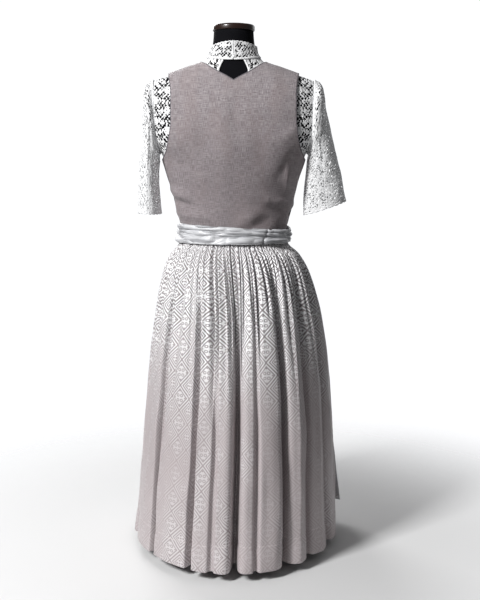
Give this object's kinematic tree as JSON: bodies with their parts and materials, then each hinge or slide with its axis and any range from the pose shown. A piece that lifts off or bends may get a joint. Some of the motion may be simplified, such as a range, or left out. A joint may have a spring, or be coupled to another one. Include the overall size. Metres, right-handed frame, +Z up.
{
  "type": "dirndl on a dress form",
  "caption": "Dirndl on a limbless dress form: lace blouse with elbow sleeves, sleeveless bodice, gathered patterned skirt, apron with satin ties and a bow.",
  "frame": {"origin": "centre of the base's underside, where the dress form stands on the floor", "axes": "+Z up; the wearer faces -Y; +X is the wearer's left"},
  "size_m": [0.4916, 0.5103, 1.1873],
  "materials": {
    "linen": "matt taupe slub linen",
    "damask": "taupe damask with a silver-white lattice",
    "satin": "silver-grey satin ribbon",
    "lace": "white corded lace",
    "apron_cloth": "pale cotton with small dark dots",
    "form_cover": "black jersey cover",
    "cap_wood": "dark brown lacquer",
    "steel": "dark grey powder coat",
    "button_metal": "old silver"
  },
  "bodies": {
    "root": {"form_torso": "form_cover", "form_neck_cap": "cap_wood", "form_pole": "steel", "form_base": "steel", "blouse_back_left": "lace", "blouse_back_right": "lace", "blouse_front": "lace", "collar": "lace", "collar_button": "lace", "sleeve_left_back": "lace", "sleeve_left_front": "lace", "sleeve_right_back": "lace", "sleeve_right_front": "lace", "bodice_back": "linen", "bodice_front_left": "linen", "bodice_front_right": "linen", "front_button_1": "button_metal", "front_button_2": "button_metal", "front_button_3": "button_metal", "front_button_4": "button_metal", "front_button_5": "button_metal", "front_button_6": "button_metal", "front_button_7": "button_metal", "skirt": "damask", "apron": "apron_cloth", "tie_wrap": "satin", "bow_knot": "satin", "bow_loop_left": "satin", "bow_loop_right": "satin", "tie_tail_left": "satin", "tie_tail_right": "satin"}
  },
  "joints": []
}
